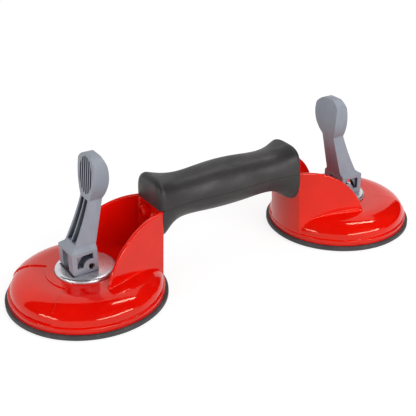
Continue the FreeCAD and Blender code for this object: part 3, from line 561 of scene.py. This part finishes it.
@dataclass
class SuctionCup:
    """One cup: the enamelled casting, its rubber pad, the plated cam plate and the lift stem.

    The cup's own X runs from its stem towards the handle, so the right cup is turned half round.
    The fillets at the feet of its walls are beads, and so is the rim of the bare panel.
    """

    side: Side
    enamel: bpy.types.Material
    rubber: bpy.types.Material
    steel: bpy.types.Material
    brass: bpy.types.Material

    skirt_radius: float = 56.5 * MM
    shoulder_width: float = 20.0 * MM
    shoulder_height: float = 13.0 * MM
    shoulder_z: float = 10.0 * MM
    shoulder_end: float = 0.995

    wall: float = 2.6 * MM
    wing_tip: Pair = (2.4 * MM, 35.8 * MM)
    wing_corner: Pair = (53.63 * MM, 19.6 * MM)
    wing_steps: int = 60
    tip_steps: int = 14
    tip_setback: float = 1.5 * MM
    back_radius: float = 54.86 * MM
    back_angle: float = 19.0
    back_steps: int = 30

    bead: float = 1.1 * MM
    bead_steps: int = 7
    bead_sink: float = 0.4 * MM
    bead_run: float = 8.0
    bead_least: float = 0.3

    panel_inner: float = 29.0 * MM
    panel_angle: float = 40.0
    panel_setback: float = 3.0 * MM
    panel_side_steps: int = 40
    panel_arc_steps: int = 60
    rim: float = 0.3 * MM
    rim_around: int = 8
    rim_sink: float = 0.5

    def centre(self) -> float:
        """The stem's X, from the pad's box."""
        low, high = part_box(f"rubber_pad_{self.side.tag}")
        return (low[0] + high[0]) / 2

    def placed(self, points: np.ndarray) -> np.ndarray:
        """Turns points of the cup's own frame into the object's frame."""
        turn = np.array([-self.side.value, -self.side.value, 1.0])
        return points * turn + np.array([self.centre(), 0.0, 0.0])

    def dome(self, plan: np.ndarray) -> tuple[np.ndarray, np.ndarray]:
        """Points and normals of the dome: a flat top, then a quarter ellipse down to the skirt.

        With s as the share of the shoulder's width that the radius has run, the height is
        shoulder_z + shoulder_height * sqrt(1 - s * s), and the normal is the ellipse's own.

        Args:
            plan: an (n, 2) array of places in the cup's own X and Y.

        Returns:
            The (n, 3) points and the (n, 3) unit normals.
        """
        radius = np.hypot(plan[:, 0], plan[:, 1])
        share = (radius - self.skirt_radius + self.shoulder_width) / self.shoulder_width
        share = np.clip(share, 0.0, self.shoulder_end)
        fall = np.sqrt(1.0 - share**2)
        points = np.column_stack([plan, self.shoulder_z + self.shoulder_height * fall])
        lean = np.column_stack([share / self.shoulder_width, fall / self.shoulder_height])
        lean /= np.linalg.norm(lean, axis=1, keepdims=True)
        normals = np.column_stack([plan / radius[:, None] * lean[:, :1], lean[:, 1]])
        return points, normals

    def foot_bead(
        self, plan: np.ndarray, away: np.ndarray, radius: np.ndarray
    ) -> tuple[np.ndarray, np.ndarray]:
        """A concave fillet where an upright wall meets the dome.

        Each ring is an arc of the given radius that touches both surfaces: its centre is the
        meeting point plus radius * (wall normal + dome normal) / (1 + their dot product). Three
        more points close it inside the casting.

        Args:
            plan: an (n, 2) array of places along the wall's foot.
            away: the wall's (n, 2) unit normals.
            radius: the fillet's radius at each place.

        Returns:
            The points and the faces.
        """
        foot, up = self.dome(plan)
        out = np.column_stack([away, np.zeros(len(away))])
        size = radius[:, None]
        middle = foot + size * (out + up) / (1.0 + np.sum(out * up, axis=1, keepdims=True))
        turn = np.linspace(0.0, 1.0, self.bead_steps)[None, :, None]
        spoke = -(1.0 - turn) * out[:, None, :] - turn * up[:, None, :]
        spoke /= np.linalg.norm(spoke, axis=2, keepdims=True)
        arc = middle[:, None, :] + size[:, None, :] * spoke
        sink = self.bead_sink
        back = [arc[:, -1] - sink * up, foot - sink * (out + up), arc[:, 0] - sink * out]
        ring = np.concatenate([arc, np.stack(back, axis=1)], axis=1)
        return ring.reshape(-1, 3), tube_faces(len(plan), ring.shape[1])

    def wing_path(self) -> tuple[np.ndarray, np.ndarray]:
        """The foot of the +Y wing: its outer face, round its tip, and back along its inner face.

        The faces run half a wall from the line between tip and corner, and the tip is a half
        circle between them.

        Returns:
            The (n, 2) places and the wall's (n, 2) normals there.
        """
        tip, corner = np.array(self.wing_tip), np.array(self.wing_corner)
        along = (corner - tip) / np.linalg.norm(corner - tip)
        outward = np.array([-along[1], along[0]])
        half = self.wall / 2
        end = tip - outward * half + along * half
        start = math.atan2(outward[1], outward[0])
        length = np.linalg.norm(corner - tip) - half
        reach = length * (1.0 - np.linspace(0.0, 1.0, self.wing_steps))
        outer = end + reach[:, None] * along + outward * half
        # The inner face starts a little past the tip, where its first two steps would coincide.
        back = (reach[::-1] - self.tip_setback).clip(0.0)[2:]
        inner = end + back[:, None] * along - outward * half
        angle = start + math.pi * np.linspace(0.0, 1.0, self.tip_steps)[1:-1]
        spoke = np.column_stack([np.cos(angle), np.sin(angle)])
        plan = np.concatenate([outer, end + half * spoke, inner])
        normals = (np.tile(outward, (len(outer), 1)), spoke, np.tile(-outward, (len(inner), 1)))
        return plan, np.concatenate(normals)

    def foot_fillets(self) -> None:
        """Makes the fillets round the foot of both wings and along the back wall's foot.

        A wing's fillet grows from bead_least of its radius to all of it over bead_run rings at
        each end, and the back wall's is an arc about the stem.
        """
        plan, away = self.wing_path()
        walk = np.arange(len(plan))
        from_end = np.minimum(walk + 2, len(plan) + 1 - walk)
        radius = self.bead * np.clip(from_end / self.bead_run, self.bead_least, 1.0)
        mirror = np.array([1.0, -1.0])
        theta = np.radians(np.linspace(-self.back_angle, self.back_angle, self.back_steps))
        ray = np.column_stack([np.cos(theta), np.sin(theta)])
        parts = [
            self.foot_bead(plan, away, radius),
            self.foot_bead(plan * mirror, away * mirror, radius),
            self.foot_bead(self.back_radius * ray, -ray, np.full(len(ray), self.bead)),
        ]
        starts = np.cumsum([0] + [len(points) for points, _ in parts[:-1]])
        points = np.concatenate([points for points, _ in parts])
        faces = np.concatenate([faces + start for (_, faces), start in zip(parts, starts)])
        name = f"wing_foot_fillets_{self.side.tag}"
        mesh_piece(name, self.placed(points), faces, "lifter", self.enamel)

    def panel_rim(self) -> None:
        """Makes the rolled edge that borders the bare panel, on its two sides and inner arc.

        The bead follows the panel's outline on the dome: each ring is a circle in the plane of
        the dome's normal and the outline's sideways direction, its middle sunk by rim_sink of
        its radius.
        """
        half = math.radians(self.panel_angle)
        reach = np.linspace(
            self.skirt_radius - self.panel_setback, self.panel_inner, self.panel_side_steps
        )
        turn = np.linspace(-half, half, self.panel_arc_steps)[1:-1]
        radius = np.concatenate([reach, np.full(len(turn), self.panel_inner), reach[::-1]])
        sides = np.full(len(reach), half)
        angle = math.pi + np.concatenate([-sides, turn, sides])
        points, up = self.dome(np.column_stack([radius * np.cos(angle), radius * np.sin(angle)]))
        ahead = np.gradient(points, axis=0)
        ahead /= np.linalg.norm(ahead, axis=1, keepdims=True)
        aside = np.cross(ahead, up)[:, None, :]
        up = up[:, None, :]
        around = np.linspace(0.0, 2 * math.pi, self.rim_around, endpoint=False)[None, :, None]
        ring = points[:, None, :] - self.rim_sink * self.rim * up
        ring = ring + self.rim * (np.cos(around) * aside + np.sin(around) * up)
        faces = tube_faces(len(points), self.rim_around)
        name = f"panel_rim_{self.side.tag}"
        rim = self.placed(ring.reshape(-1, 3))
        mesh_piece(name, rim, faces, "lifter", self.enamel)

    def plating(self) -> bpy.types.Material:
        """Builds the bright zinc of this cup's cam plate, with its rings about the stem.

        Returns:
            The material.
        """
        return TurnedMetal(
            f"zinc_plate_{self.side.tag}",
            paint(226, 227, 231),
            paint(204, 206, 212),
            roughness=(0.24, 0.38),
            centre=(self.centre(), 0.0, 0.0),
            metallic=0.85,
        ).material()

    def build(self) -> None:
        """Dresses the cup's nodes, and adds the fillets and the panel's rim."""
        finishes = {
            "cup_body": self.enamel,
            "rubber_pad": self.rubber,
            "pad_insert": self.steel,
            "lift_stem": self.steel,
            "pivot_pin": self.steel,
            "cam_plate": self.plating(),
            "handle_screws": self.enamel,
            "threaded_inserts": self.brass,
        }
        for stem, material in finishes.items():
            dress(f"{stem}_{self.side.tag}", material)
        self.foot_fillets()
        self.panel_rim()


@dataclass
class CamLever:
    """One folding lever of grey plastic."""

    side: Side
    plastic: bpy.types.Material

    def build(self) -> None:
        """Dresses the lever's node."""
        dress(f"lever_{self.side.tag}", self.plastic)


@dataclass
class GripHandle:
    """The handle's two moulded shells and the screws that pull them together."""

    plastic: bpy.types.Material
    steel: bpy.types.Material

    def build(self) -> None:
        """Dresses the shells and their screws."""
        dress("handle_upper_shell", self.plastic)
        dress("handle_lower_shell", self.plastic)
        dress("shell_screws", self.steel)


# ------------------------------------------------------------------ studio


class LampRole(Enum):
    """Whether a lamp lights the surfaces, or only shows as a highlight in their gloss."""

    LIGHT = "light"
    HIGHLIGHT = "highlight"


@dataclass(frozen=True)
class SoftBox:
    """One rectangular lamp that faces the object.

    Its bearing is in degrees from +X towards +Y, its height in degrees above the floor, its
    size is width and height, and a level of 1 is as bright as white paper.
    """

    name: str
    role: LampRole
    bearing: float
    height: float
    size: Pair
    level: float
    distance: float = 1.8

    def hang(self) -> None:
        """Adds the lamp at its distance, turned to the object."""
        turn, rise = math.radians(self.bearing), math.radians(self.height)
        flat = math.cos(rise)
        aim = Vector((flat * math.cos(turn), flat * math.sin(turn), math.sin(rise)))
        data = bpy.data.lights.new(self.name, "AREA")
        data.shape = "RECTANGLE"
        data.size, data.size_y = self.size
        data.energy = self.level * math.pi * self.size[0] * self.size[1]
        lamp = bpy.data.objects.new(self.name, data)
        lamp.location = aim * self.distance
        lamp.rotation_euler = (-aim).to_track_quat("-Z", "Y").to_euler()
        lamp.visible_camera = False
        lamp.visible_glossy = self.role is LampRole.HIGHLIGHT
        lamp.visible_diffuse = self.role is LampRole.LIGHT
        bpy.context.scene.collection.objects.link(lamp)


@dataclass
class Studio:
    """A plain pale floor, soft boxes, dark cards over and beside the object, and the camera."""

    eye: Point = (-0.3309, -0.5283, 0.3525)
    yaw: float = 58.87
    pitch: float = -26.565
    roll: float = -0.584
    lens: float = 77.23
    sensor: float = 36.0
    near_clip: float = 0.01

    room_light: float = 0.56
    floor_half: float = 6.0
    floor_drop: float = 0.3 * MM
    floor_grey: Colour = (0.35, 0.35, 0.35, 1.0)
    floor_glow: float = 0.78
    felt: Colour = (0.004, 0.004, 0.004, 1.0)

    lamps: tuple[SoftBox, ...] = (
        SoftBox("key", LampRole.LIGHT, -78.0, 27.0, (1.3, 1.0), 3.9),
        SoftBox("fill", LampRole.LIGHT, -168.0, 14.0, (0.9, 0.9), 2.2),
        SoftBox("strip_right", LampRole.HIGHLIGHT, -14.0, 64.0, (0.14, 0.75), 20.0),
        SoftBox("strip_front", LampRole.HIGHLIGHT, -78.0, 19.0, (1.7, 0.2), 16.0),
        SoftBox("strip_left", LampRole.HIGHLIGHT, -172.0, 19.0, (0.8, 0.16), 15.0),
    )

    def camera(self) -> None:
        """Places the camera: it looks along yaw and pitch, turned by roll about its own axis."""
        yaw, pitch, roll = (math.radians(a) for a in (self.yaw, self.pitch, self.roll))
        flat = math.cos(pitch)
        forward = Vector((math.cos(yaw) * flat, math.sin(yaw) * flat, math.sin(pitch)))
        level = forward.cross(Vector((0, 0, 1))).normalized()
        upright = level.cross(forward)
        right = level * math.cos(roll) + upright * math.sin(roll)
        up = upright * math.cos(roll) - level * math.sin(roll)
        data = bpy.data.cameras.new("camera")
        data.lens = self.lens
        data.sensor_width = self.sensor
        data.clip_start = self.near_clip
        camera = bpy.data.objects.new("camera", data)
        turn = Matrix((right, up, -forward)).transposed().to_4x4()
        camera.matrix_world = Matrix.Translation(self.eye) @ turn
        bpy.context.scene.collection.objects.link(camera)
        bpy.context.scene.camera = camera

    def world(self) -> None:
        """Lights the scene evenly, and shows white to the camera, to gloss and through glass."""
        world = bpy.data.worlds.new("studio")
        bpy.context.scene.world = world
        graph = Graph(world)
        ends = {"Value": graph.seen(), "To Min": self.room_light, "To Max": 1.0}
        strength = graph.node("ShaderNodeMapRange", inputs=ends)
        sky = graph.node("ShaderNodeBackground", inputs={"Color": WHITE, "Strength": strength})
        graph.show(sky, "ShaderNodeOutputWorld")

    def floor(self) -> None:
        """Lays a wide pale floor that shows white to the camera and keeps a soft shadow."""
        half = self.floor_half
        corners = [(-half, -half, 0), (half, -half, 0), (half, half, 0), (-half, half, 0)]
        mesh = bpy.data.meshes.new("floor")
        mesh.from_pydata(corners, [], [(0, 1, 2, 3)])
        floor = bpy.data.objects.new("floor", mesh)
        floor.location.z = -self.floor_drop
        bpy.context.scene.collection.objects.link(floor)
        graph = Graph(bpy.data.materials.new("floor"))
        diffuse = graph.node("ShaderNodeBsdfDiffuse", inputs={"Color": self.floor_grey})
        light = {"Color": WHITE, "Strength": graph.seen() * self.floor_glow}
        glow = graph.node("ShaderNodeEmission", inputs=light)
        graph.show(graph.node("ShaderNodeAddShader", inputs={0: diffuse, 1: glow}))
        mesh.materials.append(graph.owner)

    def card(self, name: str, corners: Sequence[Point]) -> None:
        """Hangs a dark card that only gloss sees, as black felt round a product table does.

        Args:
            name: the card's name.
            corners: its four corners, in order round its edge.
        """
        mesh = bpy.data.meshes.new(name)
        mesh.from_pydata(list(corners), [], [(0, 1, 2, 3)])
        card = bpy.data.objects.new(name, mesh)
        bpy.context.scene.collection.objects.link(card)
        card.visible_camera = False
        card.visible_diffuse = False
        card.visible_shadow = False
        card.visible_transmission = False
        graph = Graph(bpy.data.materials.new(name))
        felt = graph.finish(Base_Color=self.felt, Roughness=1.0, Specular_IOR_Level=0.0)
        mesh.materials.append(felt)

    def level_card(self, name: str, height: float, near: float, far: float, half: float) -> None:
        """Hangs a level card whose near side faces the camera.

        Args:
            name: the card's name.
            height: its height over the floor.
            near: how far it reaches towards the camera from over the object.
            far: how far it reaches away from the camera.
            half: half its width across.
        """
        yaw = math.radians(self.yaw)
        along = np.array([math.cos(yaw), math.sin(yaw)])
        across = np.array([-along[1], along[0]])
        steps = ((-near, -half), (-near, half), (far, half), (far, -half))
        plan = [along * a + across * c for a, c in steps]
        self.card(name, [(x, y, height) for x, y in plan])

    def upright_card(self, name: str, bearings: Pair, reach: float, heights: Pair) -> None:
        """Stands an upright card beside the object.

        Args:
            name: the card's name.
            bearings: the directions of its two ends, in degrees from +X towards +Y.
            reach: how far its ends are from the object.
            heights: its lower and upper edge.
        """
        turns = [math.radians(bearing) for bearing in bearings]
        (ax, ay), (bx, by) = [(reach * math.cos(t), reach * math.sin(t)) for t in turns]
        low, high = heights
        self.card(name, [(ax, ay, low), (bx, by, low), (bx, by, high), (ax, ay, high)])

    def build(self) -> None:
        """Sets the camera, the stage and the lamps."""
        self.camera()
        self.world()
        self.floor()
        self.level_card("felt_over", height=2.0, near=7.0, far=0.7, half=9.0)
        self.upright_card("felt_right", bearings=(-42.0, 24.0), reach=2.4, heights=(0.05, 2.6))
        for lamp in self.lamps:
            lamp.hang()
        bpy.context.scene.view_settings.view_transform = "Standard"


def main() -> None:
    """Builds and dresses the lifter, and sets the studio."""
    logging.basicConfig(level=logging.INFO, format="%(name)s: %(message)s")
    Studio().build()
    enamel = RedEnamel().material()
    rubber = PadRubber().material()
    grey = GreyPlastic().material()
    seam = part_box("handle_lower_shell")[1][2]
    black = BlackPlastic(seam).material()
    brass = TurnedMetal(
        "brass_insert", paint(206, 170, 96), paint(176, 140, 74), roughness=(0.14, 0.28)
    ).material()
    steel = TurnedMetal(
        "plain_steel", paint(176, 176, 178), paint(132, 132, 136), roughness=(0.24, 0.38)
    ).material()
    for side in Side:
        SuctionCup(side, enamel, rubber, steel, brass).build()
        CamLever(side, grey).build()
    GripHandle(black, steel).build()


if __name__ == "__main__":
    main()
